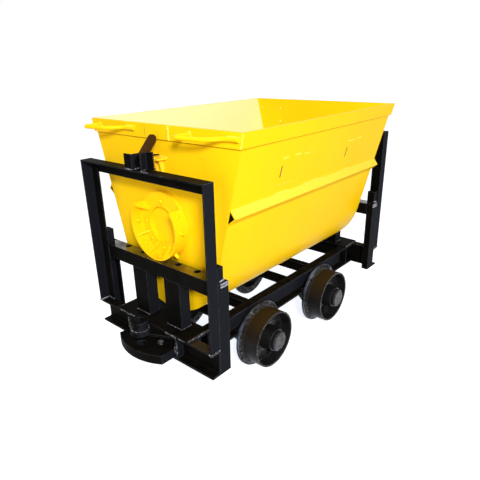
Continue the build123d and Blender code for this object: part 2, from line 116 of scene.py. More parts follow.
# %% Place the camera
PICTURE = 480
FOCAL_PX = 461.4
CENTRE_PX = (231.6, 247.4)
AZIMUTH = -0.8397
ELEVATION = 0.38524
ROLL = -0.0269
EYE = Vector((-1.9331, -1.5618, 1.5069))
SENSOR = 36

backward = Vector((
    math.sin(AZIMUTH) * math.cos(ELEVATION),
    -math.cos(AZIMUTH) * math.cos(ELEVATION),
    math.sin(ELEVATION),
))
horizontal = Vector((math.cos(AZIMUTH), math.sin(AZIMUTH), 0))
upright = backward.cross(horizontal)
right = math.cos(ROLL) * horizontal + math.sin(ROLL) * upright
up = backward.cross(right)
lens = bpy.data.cameras.new("camera")
lens.sensor_width = SENSOR
lens.lens = FOCAL_PX / PICTURE * SENSOR
lens.shift_x = (PICTURE / 2 - CENTRE_PX[0]) / PICTURE
lens.shift_y = (CENTRE_PX[1] - PICTURE / 2) / PICTURE
camera = bpy.data.objects.new("camera", lens)
axes = Matrix((right, up, backward)).transposed().to_4x4()
camera.matrix_world = Matrix.Translation(EYE) @ axes
bpy.context.scene.collection.objects.link(camera)
bpy.context.scene.camera = camera
print("camera lens", round(lens.lens, 2), "mm")

# %% [markdown]
# ## Shader maths
# Masks read best as arithmetic. `Value` wraps one output socket and gives it plus, minus, times,
# more than and less than. Multiplying two masks keeps what lies in both; `either` keeps what lies
# in one or the other.

# %% Wrap sockets
class Value:
    """One output of a node, usable in arithmetic."""

    def __init__(self, shading, socket):
        self.shading = shading
        self.socket = socket

    def maths(self, operation, *terms):
        sockets = dict(enumerate(terms))
        return self.shading.node("ShaderNodeMath", {"operation": operation}, sockets)

    def __add__(self, other):
        return self.maths("ADD", self, other)

    def __radd__(self, other):
        return self.maths("ADD", other, self)

    def __sub__(self, other):
        return self.maths("SUBTRACT", self, other)

    def __rsub__(self, other):
        return self.maths("SUBTRACT", other, self)

    def __mul__(self, other):
        return self.maths("MULTIPLY", self, other)

    def __rmul__(self, other):
        return self.maths("MULTIPLY", other, self)

    def __gt__(self, other):
        return self.maths("GREATER_THAN", self, other)

    def __lt__(self, other):
        return self.maths("LESS_THAN", self, other)

    def size(self):
        return self.maths("ABSOLUTE", self)

    def either(self, other):
        return self.maths("MAXIMUM", self, other)

    def root(self):
        return self.maths("SQRT", self)


print("sockets can be added, multiplied and compared")

# %% [markdown]
# `Shading` owns a tree of nodes, of a material or of the surround, and adds any node with one
# method. The floor and the surround need to know which rays look at them and which only bring
# light, so that mask is here too.

# %% Wrap node trees
class Shading:
    """A node tree under construction: its shader and a way to add nodes."""

    def __init__(self, tree, shader):
        self.tree = tree
        self.shader = tree.nodes[shader]

    def fill(self, socket, value):
        """Links a socket to a Value, or gives it a plain value."""
        if isinstance(value, Value):
            self.tree.links.new(value.socket, socket)
        else:
            socket.default_value = value

    def node(self, kind, settings=None, sockets=None, output=0):
        """Adds a node, applies its settings, then fills its sockets."""
        added = self.tree.nodes.new(kind)
        for name, value in (settings or {}).items():
            setattr(added, name, value)
        for name, value in (sockets or {}).items():
            self.fill(added.inputs[name], value)
        return Value(self, added.outputs[output])

    def feed(self, **sockets):
        """Fills the shader's own sockets; an underscore stands for a space."""
        for name, value in sockets.items():
            self.fill(self.shader.inputs[name.replace("_", " ")], value)

    def between(self, value, low, high):
        """Value stretched so that low becomes 0 and high becomes 1, clamped."""
        sockets = {"Value": value, "From Min": low, "From Max": high}
        return self.node("ShaderNodeMapRange", {"clamp": True}, sockets)

    def blend(self, mask, first, second):
        """Colour that goes from first to second as the mask goes from 0 to 1."""
        sockets = {0: mask, 6: first, 7: second}
        return self.node("ShaderNodeMix", {"data_type": "RGBA"}, sockets, output=2)

    def looked_at(self):
        """1 for rays of the camera, of a mirror or through glass, 0 for light on its way."""
        mask = self.node("ShaderNodeLightPath", output="Is Camera Ray")
        for ray in ("Is Glossy Ray", "Is Transmission Ray"):
            mask = mask.either(self.node("ShaderNodeLightPath", output=ray))
        return mask


print("node trees can be filled")

# %% [markdown]
# `Finish` is the shading of a material and knows the patterns that paint on steel needs: noise,
# the way a face looks, and the sharp edges, which it also rolls over a little as real paint does.
# Patterns are laid in the piece's own axes, so that they stay on a piece that moves.

# %% Wrap materials
class Finish(Shading):
    """A material under construction."""

    def __init__(self, name):
        self.material = bpy.data.materials.new(name)
        self.material.use_nodes = True
        super().__init__(self.material.node_tree, "Principled BSDF")

    def place(self):
        """Where a point is in the piece's own axes, in metres."""
        return self.node("ShaderNodeTexCoord", output="Object")

    def own_normal(self):
        """Direction of a face in the piece's own axes."""
        return self.node("ShaderNodeTexCoord", output="Normal")

    def normal(self):
        """Direction of a face in the room."""
        return self.node("ShaderNodeNewGeometry", output="Normal")

    def part_of(self, vector, axis):
        """A vector's part along "X", "Y" or "Z"."""
        return self.node("ShaderNodeSeparateXYZ", {}, {0: vector}, output=axis)

    def vectors(self, operation, first, second, output="Vector"):
        """Vector maths; a dot product has its number in the output "Value"."""
        sockets = {0: first, 1: second}
        return self.node("ShaderNodeVectorMath", {"operation": operation}, sockets, output)

    def noise(self, scale, detail=3.0, roughness=0.5):
        """Soft random pattern, 0 to 1, with features about 1/scale metres apart."""
        sockets = {
            "Vector": self.place(),
            "Scale": scale,
            "Detail": detail,
            "Roughness": roughness,
        }
        return self.node("ShaderNodeTexNoise", {}, sockets)

    def facing_up(self):
        """1 on level upward faces, 0 on upright ones."""
        return self.between(self.part_of(self.normal(), "Z"), 0.35, 0.9)

    def facing_side(self):
        """1 on faces that look across the cart, 0 on those that look along it or up."""
        return self.between(self.part_of(self.normal(), "Y").size(), 0.45, 0.85)

    def rounded(self, radius):
        """Normal that rolls over sharp edges, as paint does on rolled steel."""
        return self.node("ShaderNodeBevel", {"samples": 4}, {"Radius": radius})

    def arris(self, radius):
        """1 along sharp edges, fading to 0 a radius away from them."""
        agreement = self.vectors("DOT_PRODUCT", self.rounded(radius), self.normal(), "Value")
        return self.between(agreement, 0.985, 0.86)

    def bump(self, height, strength, distance, radius=None):
        """Normal raised by height times distance, with edges rolled over if a radius is given."""
        sockets = {"Strength": strength, "Distance": distance, "Height": height}
        if radius:
            sockets["Normal"] = self.rounded(radius)
        return self.node("ShaderNodeBump", {}, sockets)


print("shader helpers ready")

# %% [markdown]
# ## Yellow enamel
# The tub is sprayed in a warm yellow gloss over plate. Up close such paint has orange peel, slight
# waves from rolling and welding, and a little grime that gathers in patches. The colour shifts by a
# few percent only: more would look like rust, which this cart doesn't have. Inside the load space
# the paint is lifted to a pale lemon, a painted highlight for the glare on the lit inner walls, and
# behind the rails the side is painted dark as shade.

# %% Masks on the tub
RAIL_LOW = near("side_rail_left").z
RAIL_HIGH = far("side_rail_left").z
TUB_MIDDLE = (0, 0, 0.95)
ACROSS = (0, 1, 1)
BAND_SHADE_WIDTH = 4 * MM
RAIL_SHADE_WIDTH = 3 * MM
RAIL_SEAT = 4 * MM


# Mask of the painted highlight inside the load space.
def inside_highlight_mask(paint):
    """1 on the faces of the shell that look in at the load, 0 outside."""
    from_middle = paint.vectors("SUBTRACT", paint.place(), TUB_MIDDLE)
    across = paint.vectors("MULTIPLY", from_middle, ACROSS)
    return paint.vectors("DOT_PRODUCT", paint.own_normal(), across, "Value") < 0


def shade_lines(paint):
    """1 in the narrow lines just below the rim band, less below the rails, where painted shade
    goes.
    """
    place = paint.place()
    height = paint.part_of(place, "Z")
    side = paint.facing_side()
    outside = (paint.part_of(place, "X").size() > WALL_X - MM).either(side)
    band = (height > BAND_LOW - BAND_SHADE_WIDTH) * (height < BAND_LOW + MM) * outside
    rail = (height > RAIL_LOW - RAIL_SHADE_WIDTH) * (height < RAIL_LOW + MM) * side
    return band.either(rail * 0.35)


def shaded_behind_rails(paint):
    """1 on the part of the sides that the rails cover, which is painted dark as shade."""
    height = paint.part_of(paint.place(), "Z")
    return (height > RAIL_LOW + MM) * (height < RAIL_HIGH - RAIL_SEAT) * paint.facing_side()


print("rails cover the sides from", round(RAIL_LOW, 3), "to", round(RAIL_HIGH, 3))

# %% [markdown]
# One function mixes the enamel for most of the tub and takes as options painted shade lines under
# the rim band and rails, the painted light inside and pale painted highlights. The rails are yellow
# outside with a painted highlight on top, and painted dark as shade on the hollow side toward the
# tub: a face looks inward when its normal and its own Y have opposite signs.

# %% Yellow enamel
YELLOW = (0.98, 0.63, 0.005, 1)
YELLOW_THIN = (0.95, 0.585, 0.004, 1)
YELLOW_GRIME = (0.62, 0.33, 0.02, 1)
# The next two colours are painted highlights, the two after them painted shade.
INSIDE_HIGHLIGHT = (0.94, 0.86, 0.44, 1)
PALE_HIGHLIGHT = (0.98, 0.80, 0.14, 1)
SHADE_BROWN = (0.16, 0.075, 0.004, 1)
HOLLOW_SHADE = (0.016, 0.010, 0.002, 1)
YELLOW_SHINE = 0.04
YELLOW_WAVE = 1.2 * MM
YELLOW_EDGE = 1.5 * MM


def clouded_yellow(paint):
    return paint.blend(paint.between(paint.noise(2.2, 4), 0.3, 0.7), YELLOW, YELLOW_THIN)


def yellow_enamel(name, grime=0.3, walls=False, painted_light=False, painted_glint=0.0):
    """Glossy yellow paint; grime sets dirty patches, the options add painted shade and highlights.
    """
    paint = Finish(name)
    colour = clouded_yellow(paint)
    if walls:
        # Painted shade: brown lines just below the rim band and the rails, where their shadows
        # fall.
        colour = paint.blend(shade_lines(paint) * 0.9, colour, SHADE_BROWN)
    if painted_light:
        # Painted shade: the sides behind the rails go dark.
        colour = paint.blend(shaded_behind_rails(paint), colour, HOLLOW_SHADE)
        # Painted highlight: faces inside the load space go pale lemon, for the glare of the lit
        # walls.
        colour = paint.blend(inside_highlight_mask(paint), colour, INSIDE_HIGHLIGHT)
    if painted_glint:
        # Painted highlight: pale spots for the light that welds and small parts catch.
        colour = paint.blend(paint.between(paint.noise(80, 3) * painted_glint, 0.2, 0.9), colour, PALE_HIGHLIGHT)
    dirt = paint.between(paint.noise(9, 8, 0.65), 0.62, 0.82) * grime
    peel = paint.noise(420, 2) * 0.25 + paint.noise(5, 2)
    paint.feed(
        Base_Color=paint.blend(dirt, colour, YELLOW_GRIME),
        Roughness=paint.noise(14, 4) * 0.14 + 0.30 + dirt * 0.3,
        Normal=paint.bump(peel, 0.22, YELLOW_WAVE, YELLOW_EDGE),
        Specular_IOR_Level=YELLOW_SHINE,
    )
    return paint.material


def rail_enamel(name):
    """Yellow outside, a painted highlight on top, painted shade on the hollow side facing the tub.
    """
    paint = Finish(name)
    # Painted shade: the hollow side toward the tub goes dark.
    hollow = paint.part_of(paint.own_normal(), "Y") * paint.part_of(paint.place(), "Y") < 0
    # Painted highlight: the rail's upper faces go pale, as they face the light.
    colour = paint.blend(paint.facing_up() * 0.85, clouded_yellow(paint), PALE_HIGHLIGHT)
    paint.feed(
        Base_Color=paint.blend(hollow, colour, HOLLOW_SHADE),
        Roughness=paint.noise(14, 4) * 0.14 + 0.30,
        Normal=paint.bump(paint.noise(5, 2), 0.2, YELLOW_WAVE, YELLOW_EDGE),
        Specular_IOR_Level=YELLOW_SHINE,
    )
    return paint.material


YELLOW_STEEL = yellow_enamel("yellow_enamel")
YELLOW_WALL = yellow_enamel("yellow_enamel_walls", walls=True)
YELLOW_SHELL = yellow_enamel("yellow_enamel_painted_light_inside", walls=True, painted_light=True)
YELLOW_RAIL = rail_enamel("yellow_enamel_rails")
# The next two carry painted highlights: pale spots on the welds and on the catch.
YELLOW_WELD = yellow_enamel("yellow_weld_pale_highlights", grime=0.1, painted_glint=1.3)
YELLOW_CATCH = yellow_enamel("yellow_enamel_pale_highlights", grime=0.1, painted_glint=0.55)
print("mixed six yellows")

# %% [markdown]
# ## Black frame paint
# The frame is rolled steel under one coat of black. Mill scale telegraphs through as fine grain and
# brown dust settles on the level faces, most of all on the headstock beside one post, where feet
# land. The faces that look across the cart are painted a lighter blue grey, a painted sheen where
# they catch more light. Little light comes off the coat head on, so its specular level is low and
# painted highlights along the edges do the shining.

# %% Masks on the frame
BLACK = (0.0022, 0.0022, 0.0020, 1)
BLACK_WORN = (0.0050, 0.0048, 0.0044, 1)
# The next four colours are painted light: two side sheens, a ring reflection, an edge highlight.
SIDE_SHEEN = (0.0095, 0.0112, 0.0155, 1)
SILL_SHEEN = (0.015, 0.017, 0.024, 1)
RING_REFLECTION = (0.105, 0.080, 0.012, 1)
EDGE_HIGHLIGHT = (0.105, 0.110, 0.130, 1)
DUST = (0.080, 0.055, 0.028, 1)
BLACK_SHINE = 0.008
BLACK_EDGE = 1.8 * MM
FADE = 20 * MM
TRACK_INNER_Y = 0.10
TRACK_OUTER_Y = 0.36


def tread_patch(paint):
    """1 on top of the headstock between the cap plate and the right hand post, 0 elsewhere."""
    place = paint.place()
    edge_x = WEB_X - 50 * MM
    along = paint.between(paint.part_of(place, "X").size(), edge_x, edge_x + FADE)
    edge_y = 10 * MM - CAP_Y
    across = paint.between(paint.part_of(place, "Y"), edge_y, edge_y - 2 * FADE)
    height = paint.part_of(place, "Z") - FRAME_TOP
    return along * across * (height.size() < 10 * MM)


# Mask for the painted reflection of the rings on the rocker bars.
def ring_track(paint):
    """1 on top of the rocker bars where the yellow rings roll, fading toward the posts."""
    from_middle = paint.part_of(paint.place(), "Y").size()
    return paint.facing_up() * paint.between(from_middle, TRACK_OUTER_Y, TRACK_INNER_Y)


print("one patch on the headstock and one on the rocker bars")

# %% [markdown]
# The coat is built up in layers: worn black, the painted sheen on side faces, painted highlights
# along edges, dust. On top of the rocker bars, under the rings, the colour takes a painted
# reflection of the yellow rings, and the bars have a polish, which is a clear coat here.

# %% Black paint
def black_paint(name, dust=0.05, sheen_colour=SIDE_SHEEN, under_rings=False):
    """Black paint: painted sheen on side faces, dust on level ones, painted highlights on edges."""
    paint = Finish(name)
    colour = paint.blend(paint.between(paint.noise(7, 6, 0.6), 0.35, 0.7), BLACK, BLACK_WORN)
    # Painted light: the faces that look across the cart go a lighter blue grey.
    sheen_share = paint.facing_side() * (paint.noise(18, 6, 0.7) * 0.5 + 0.7)
    colour = paint.blend(paint.between(sheen_share, 0, 1), colour, sheen_colour)
    # Painted highlight: lighter lines along the sharp edges.
    edge_glints = paint.arris(3.5 * MM) * paint.between(paint.noise(22, 6, 0.7), 0.35, 0.75)
    colour = paint.blend(edge_glints, colour, EDGE_HIGHLIGHT)
    speckle = paint.between(paint.noise(24, 8, 0.7), 0.36, 0.7) * dust
    grit = paint.between(paint.noise(230, 6, 0.8), 0.42, 0.62) * 0.9
    settled = paint.facing_up() * (speckle + tread_patch(paint) * grit)
    colour = paint.blend(settled, colour, DUST)
    if under_rings:
        # Painted reflection: yellow of the rings on top of the rocker bars.
        reflected_rings = ring_track(paint) * paint.between(paint.noise(14, 5), 0.25, 0.6)
        colour = paint.blend(reflected_rings, colour, RING_REFLECTION)
        polish = paint.facing_up() * paint.between(paint.noise(9, 4), 0.2, 0.6)
        paint.feed(Coat_Weight=polish, Coat_Roughness=0.16, Coat_IOR=2.4)
    scale = paint.noise(260, 4, 0.6) * 0.5 + paint.noise(16, 3)
    paint.feed(
        Base_Color=colour,
        Roughness=paint.noise(40, 5) * 0.16 + 0.36 + settled * 0.5,
        Normal=paint.bump(scale, 0.3, MM, BLACK_EDGE),
        Specular_IOR_Level=BLACK_SHINE,
    )
    return paint.material


BLACK_STEEL = black_paint("black_frame_paint")
BLACK_SILLS = black_paint("black_sill_paint", dust=0.14, sheen_colour=SILL_SHEEN)
BLACK_TRACKS = black_paint("black_rolling_track", under_rings=True)
print("mixed", BLACK_STEEL.name, BLACK_SILLS.name, BLACK_TRACKS.name)

# %% [markdown]
# The latch levers are pulled by hand. Above the bracket their black has worn through to brown
# steel; down between the bracket's plates no glove reaches and they are still black.

# %% Lever finish
GRIP_LOW = END_TOP + 64 * MM
GRIP_DARK = (0.030, 0.014, 0.004, 1)
GRIP_LIGHT = (0.070, 0.034, 0.011, 1)


def worn_grip(name):
    """Brown worn steel above the bracket, black below it."""
    paint = Finish(name)
    worn = paint.blend(paint.noise(60, 6, 0.7), GRIP_DARK, GRIP_LIGHT)
    grip = paint.between(paint.part_of(paint.place(), "Z"), GRIP_LOW, GRIP_LOW + 6 * MM)
    paint.feed(
        Base_Color=paint.blend(grip, BLACK, worn),
        Roughness=paint.noise(60, 5) * 0.2 + 0.5,
        Normal=paint.bump(paint.noise(200, 5), 0.3, MM, BLACK_EDGE),
        Specular_IOR_Level=BLACK_SHINE,
    )
    return paint.material


LEVER_STEEL = worn_grip("worn_lever_grip")
print("mixed", LEVER_STEEL.name)

# %% [markdown]
# ## Welds under the black
# A weld bead stands proud of the plate and catches the light in specks, painted in as grey glints.
# Most beads have few of them; the built up stop lugs and one bead at the foot of each long post are
# speckled nearly all over.

# %% Weld finish
WELD_DARK = (0.006, 0.006, 0.007, 1)
# Painted highlight: the grey of glints on the bead.
WELD_GLINT = (0.27, 0.28, 0.34, 1)


def weld_black(name, glint_share):
    """Glossy black over a rippled bead; a larger share gives more painted grey glints."""
    paint = Finish(name)
    threshold = 0.70 - 0.45 * glint_share
    # Painted highlight: grey specks for glints on the bead.
    glint_specks = paint.between(paint.noise(110, 6, 0.8), threshold, threshold + 0.08)
    paint.feed(
        Base_Color=paint.blend(glint_specks, WELD_DARK, WELD_GLINT),
        Roughness=paint.noise(70, 4) * 0.2 + 0.18,
        Normal=paint.bump(paint.noise(300, 4), 0.25, 0.6 * MM),
    )
    return paint.material


BLACK_WELD = weld_black("black_over_weld", 0.38)
GLINTING_WELD = weld_black("glinting_weld", 0.70)
print("mixed", BLACK_WELD.name, GLINTING_WELD.name)

# %% [markdown]
# ## Cast wheels
# Wheels are sand castings under the same black. A casting keeps the grain of the mould, so its bump
# is coarser than the plate's, and small facets glint on the faces that look across the cart. The
# top of the tread carries a painted brown reflection of the tub, and the flange's lip, the edges
# and the hub cap carry painted blue grey highlights: the distance from the axle tells these places
# apart.

# %% Cast wheel finish
WHEEL_X = (near("wheels_front").x + far("wheels_front").x) / 2
WHEEL_Z = (near("wheels_front").z + far("wheels_front").z) / 2
FLANGE_R = far("wheels_front").z - WHEEL_Z
TREAD_R = FLANGE_R - 26 * MM
HUB_CAP_R = 52 * MM
CASTING = (0.0050, 0.0052, 0.0056, 1)
CASTING_WORN = (0.0120, 0.0118, 0.0120, 1)
# The next three colours are painted light: a tread reflection and two highlights.
TREAD_REFLECTION = (0.024, 0.015, 0.006, 1)
WHEEL_HIGHLIGHT = (0.050, 0.057, 0.080, 1)
LIP_HIGHLIGHT = (0.095, 0.115, 0.175, 1)
WHEEL_SHINE = 0.07


def from_axle(paint):
    """Distance of a point from its axle's centre line, in metres."""
    place = paint.place()
    along = paint.part_of(place, "X").size() - WHEEL_X
    height = paint.part_of(place, "Z") - WHEEL_Z
    return (along * along + height * height).root()


def cast_black(name):
    """Black casting; painted highlights on lip, edges, hub cap, painted reflection on the tread."""
    paint = Finish(name)
    radius = from_axle(paint)
    side = paint.facing_side()
    cloud = paint.between(paint.noise(14, 6, 0.6), 0.35, 0.7)
    # Painted reflection: the top of the tread goes brown, the yellow tub mirrored in it.
    upward = paint.between(paint.part_of(paint.normal(), "Z"), 0.1, 0.8)
    tread_top = (radius > TREAD_R - 10 * MM) * (radius < TREAD_R + 6 * MM) * upward
    colour = paint.blend(tread_top, paint.blend(cloud, CASTING, CASTING_WORN), TREAD_REFLECTION)
    # Painted highlight: blue grey along the edges.
    edges = paint.arris(4 * MM) * paint.between(paint.noise(45, 5), 0.35, 0.65)
    colour = paint.blend(edges, colour, WHEEL_HIGHLIGHT)
    # Painted highlight: blue glints round the flange's lip.
    lip = paint.between(radius, FLANGE_R - 6 * MM, FLANGE_R - 3 * MM)
    glint = lip * paint.between(paint.noise(7, 5), 0.40, 0.62)
    colour = paint.blend(glint, colour, LIP_HIGHLIGHT)
    # Painted highlight, not wear: the hub cap goes blue grey in patches.
    cap = paint.between(radius, HUB_CAP_R + 4 * MM, HUB_CAP_R - 4 * MM) * side
    worn = cap * paint.between(paint.noise(50, 6, 0.7), 0.45, 0.65)
    facets = paint.between(paint.noise(70, 6, 0.75), 0.50, 0.60) * side
    sand = paint.noise(150, 5, 0.7) + paint.noise(30, 2) * 0.6
    paint.feed(
        Base_Color=paint.blend(worn, colour, WHEEL_HIGHLIGHT),
        Roughness=paint.noise(60, 5) * 0.18 + 0.30,
        Coat_Weight=edges.either(facets).either(cap * 0.4),
        Coat_Roughness=0.2,
        Normal=paint.bump(sand, 0.45, 1.2 * MM, 3 * MM),
        Specular_IOR_Level=WHEEL_SHINE,
    )
    return paint.material


BLACK_CASTING = cast_black("black_casting")
print("wheel radius at the flange", round(FLANGE_R, 3), "and at the tread", round(TREAD_R, 3))

# %% [markdown]
# ## Dress the frame
# Each piece of the frame keeps its mesh and only gets its finish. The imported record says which
# material slot a piece has, so one table from slot to finish covers most of them. A second table
# names the pieces that have a variant of their own.

# %% Dress the frame
FINISHES = {"tub_paint": YELLOW_STEEL, "frame_paint": BLACK_STEEL, "wheel_paint": BLACK_CASTING}
OWN_FINISH = {
    "tub_shell": YELLOW_SHELL,
    "tub_end_rear": YELLOW_WALL,
    "tub_end_front": YELLOW_WALL,
    "catch_rear": YELLOW_CATCH,
    "catch_front": YELLOW_CATCH,
    "side_rail_left": YELLOW_RAIL,
    "side_rail_right": YELLOW_RAIL,
    "latch_levers": LEVER_STEEL,
    "sill_left": BLACK_SILLS,
    "sill_right": BLACK_SILLS,
    "rocker_bars": BLACK_TRACKS,
}
for row in frame["record"]["subparts"]:
    steel = nodes[row["node"]]
    steel.data.materials.clear()
    steel.data.materials.append(OWN_FINISH.get(row["node"], FINISHES[row["material_slot"]]))
print("dressed", len(nodes), "pieces")

# %% [markdown]
# ## Stage
# A pale floor runs out to a white surround. Where the camera or a mirror like surface looks at it,
# the floor is partly self lit, so that it meets the surround without an edge and still shows the
# cart's soft shadow. The surround is white to those same rays and a dimmer, warmer source of light.
# The floor's glow is cooler than white to make up for that warmth.

# %% Floor and surround
WHITE = (1, 1, 1, 1)
NO_GLOW = (0, 0, 0, 1)
FLOOR_GREY = (0.58, 0.58, 0.58, 1)
FLOOR_GLOW = (0.80, 0.856, 0.936, 1)
SKY_LIGHT = 0.38
SKY_TINT = (1.0, 0.80, 0.55, 1)

bpy.ops.object.select_all(action="DESELECT")
bpy.ops.mesh.primitive_plane_add(size=60, location=(0, 0, 0))
floor = bpy.context.object
floor.name = "floor"
ground = Finish("pale_floor")
ground.feed(
    Base_Color=FLOOR_GREY,
    Roughness=0.9,
    Specular_IOR_Level=0.1,
    Emission_Color=ground.blend(ground.looked_at(), NO_GLOW, FLOOR_GLOW),
    Emission_Strength=1.0,
)
floor.data.materials.append(ground.material)

world = bpy.data.worlds.new("surround")
world.use_nodes = True
bpy.context.scene.world = world
sky = Shading(world.node_tree, "Background")
seen = sky.looked_at()
sky.feed(Color=sky.blend(seen, SKY_TINT, WHITE), Strength=seen * (1 - SKY_LIGHT) + SKY_LIGHT)
print("floor and surround ready")

# %% [markdown]
# ## Light
# The key lamp stands behind the camera, above it and a little to its right: the top bar and the
# handles then throw their shadows down and to the left on the end wall. Two wide lamps, one low
# off the long side and one low off the end, soften those shadows, and one overhead lifts the
# level faces.

# %% Lamps
LAMPS = (
    ("key", (-2.7, -2.9, 2.6), (0, 0, 0.8), 0.6, 172),
    ("side_fill", (1.4, -5.0, 0.6), (0, 0, 0.6), 2.6, 62),
    ("end_fill", (-4.8, -0.6, 0.8), (0, 0, 0.6), 2.6, 42),
    ("top", (0.0, 0.6, 4.6), (0, 0, 0.6), 3.0, 70),
)
for name, place, aim, size, power in LAMPS:
    glow = bpy.data.lights.new(name, "AREA")
    glow.shape = "SQUARE"
    glow.size = size
    glow.energy = power
    lamp = bpy.data.objects.new(name, glow)
    lamp.location = place
    lamp.rotation_euler = (Vector(place) - Vector(aim)).to_track_quat("Z", "Y").to_euler()
    bpy.context.scene.collection.objects.link(lamp)
bpy.context.scene.view_settings.view_transform = "Standard"
print(len(LAMPS), "lamps")

# %% [markdown]
# ## Placing what repeats
# A rivet or a bolt is shaped once at the origin, standing on Z, and then copied. Each copy gets its
# own mesh, moved and turned into place in the mesh itself, so the finished object stays at the
# origin. Copies that belong together are joined into one named piece that rides on a body.

# %% Copy, join and hang on a body
UPWARD = Vector((0, 0, 1))


def deselect():
    if bpy.context.object and bpy.context.object.mode == "EDIT":
        bpy.ops.object.mode_set(mode="OBJECT")
    bpy.ops.object.select_all(action="DESELECT")


def edit_all():
    """Edit mode on the active object, with everything selected."""
    bpy.ops.object.mode_set(mode="EDIT")
    bpy.ops.mesh.select_all(action="SELECT")


def carry(mesh, point, direction):
    """Moves a mesh from the origin to a point and turns its Z to a direction."""
    tilt = UPWARD.rotation_difference(Vector(direction)).to_matrix().to_4x4()
    mesh.transform(Matrix.Translation(Vector(point)) @ tilt)


def copies(master, spots):
    """Copies of the master, one for each spot of (point, direction that Z turns to)."""
    made = []
    for point, direction in spots:
        twin = master.copy()
        twin.data = master.data.copy()
        carry(twin.data, point, direction)
        bpy.context.scene.collection.objects.link(twin)
        made.append(twin)
    return made


def gather(name, group, body, finish):
    """Joins a group into one piece with one finish, riding on a body."""
    deselect()
    for item in group:
        item.select_set(True)
    bpy.context.view_layer.objects.active = group[0]
    bpy.ops.object.join()
    piece = bpy.context.object
    piece.name = name
    piece.data.materials.clear()
    piece.data.materials.append(finish)
    bpy.ops.object.shade_smooth_by_angle(angle=math.radians(50))
    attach(piece, body)
    print(name, len(piece.data.polygons), "faces")


def on_tub(name, group, finish):
    gather(name, group, "tub", finish)


def on_frame(name, group, finish):
    gather(name, group, "frame", finish)


def discard(*masters):
    for master in masters:
        bpy.data.objects.remove(master)


print("ready to place copies")

# %% [markdown]
# ## Rivets
# The ring castings are riveted to the end walls. A round rivet head is a low dome. It starts as a
# sphere, loses its lower half to a bisect, and is flattened to the height of a pressed head.

# %% Shape a rivet head
def rivet_head(radius, height):
    deselect()
    bpy.ops.mesh.primitive_uv_sphere_add(
        segments=16, ring_count=8, radius=radius, location=(0, 0, 0)
    )
    head = bpy.context.object
    edit_all()
    bpy.ops.mesh.bisect(plane_co=(0, 0, 0), plane_no=(0, 0, 1), clear_inner=True)
    bpy.ops.mesh.select_all(action="SELECT")
    bpy.ops.transform.resize(value=(1, 1, height / radius))
    bpy.ops.object.mode_set(mode="OBJECT")
    return head


dome = rivet_head(10 * MM, 7 * MM)
flat = rivet_head(11 * MM, 5 * MM)
print("a domed and a flat rivet head,", len(dome.data.polygons), "faces each")

# %% [markdown]
# Angles round a ring are counted from straight down. Domes stand on the ring's face and on the
# drum; flat heads close the studs from inside the drum and the rivets from inside the tub.

# %% Rivet the rings
RING_FACE = 18 * MM
RING_RIVET_R = 112 * MM
RING_RIVET_DEG = (0, 45, 90, -45, -90, 180)
STUD_HEAD_R = 139 * MM
STUD_DEG = (-90, -45, 0, 45, 90)
STUD_X = 0.687
DRUM_R = RING_Z - near("rocker_rings").z - 22 * MM
DRUM_DOME_DEG = (-118, 118)


def around(radius, deg):
    """Y and Z of a point round the ring."""
    angle = math.radians(deg)
    return radius * math.sin(angle), RING_Z - radius * math.cos(angle)


def outward(deg):
    """Direction away from the ring's axis."""
    angle = math.radians(deg)
    return (0, math.sin(angle), -math.cos(angle))


for end, s in ENDS.items():
    face_x = s * (WALL_X + RING_FACE)
    inside_x = s * (WALL_X - SHEET)
    face = [((face_x, *around(RING_RIVET_R, deg)), (s, 0, 0)) for deg in RING_RIVET_DEG]
    inside = [((inside_x, *around(RING_RIVET_R, deg)), (-s, 0, 0)) for deg in RING_RIVET_DEG]
    drum = [((s * STUD_X, *around(DRUM_R, deg)), outward(deg)) for deg in DRUM_DOME_DEG]
    studs = [((s * STUD_X, *around(STUD_HEAD_R, deg)), outward(deg + 180)) for deg in STUD_DEG]
    heads = copies(dome, face + drum) + copies(flat, studs + inside)
    on_tub(f"ring_rivets_{end}", heads, YELLOW_STEEL)
print("drum radius", round(DRUM_R, 4))

# %% [markdown]
# The end walls carry a few more heads high up inside the load space, where the handles' fixings
# come through the plate.

# %% Heads inside the end walls
WALL_HEADS = ((0.422, 1.207), (0.277, 1.206), (0.275, 1.128))
small_dome = rivet_head(8 * MM, 4 * MM)
for end, s in ENDS.items():
    inside_x = s * (WALL_X - SHEET)
    spots = [((inside_x, t * y, z), (-s, 0, 0)) for y, z in WALL_HEADS for t in BOTH_SIDES]
    # Painted highlight: these heads take the yellow with pale spots.
    on_tub(f"wall_rivets_{end}", copies(small_dome, spots), YELLOW_WELD)
discard(dome, flat, small_dome)

# %% [markdown]
# ## Bolts
# A hexagon head on a washer: a six-sided cylinder whose top edge is chamfered by a bevel, joined to
# a flat round washer. The washer's radius is a share of the width across the flats, and the other
# measures are shares of the head's height.

# %% Shape a bolt head
HEAD_MIDDLE = 0.7
HEAD_CHAMFER = 0.12
WASHER_RADIUS = 0.72
WASHER_THICKNESS = 0.25
WASHER_MIDDLE = 0.12


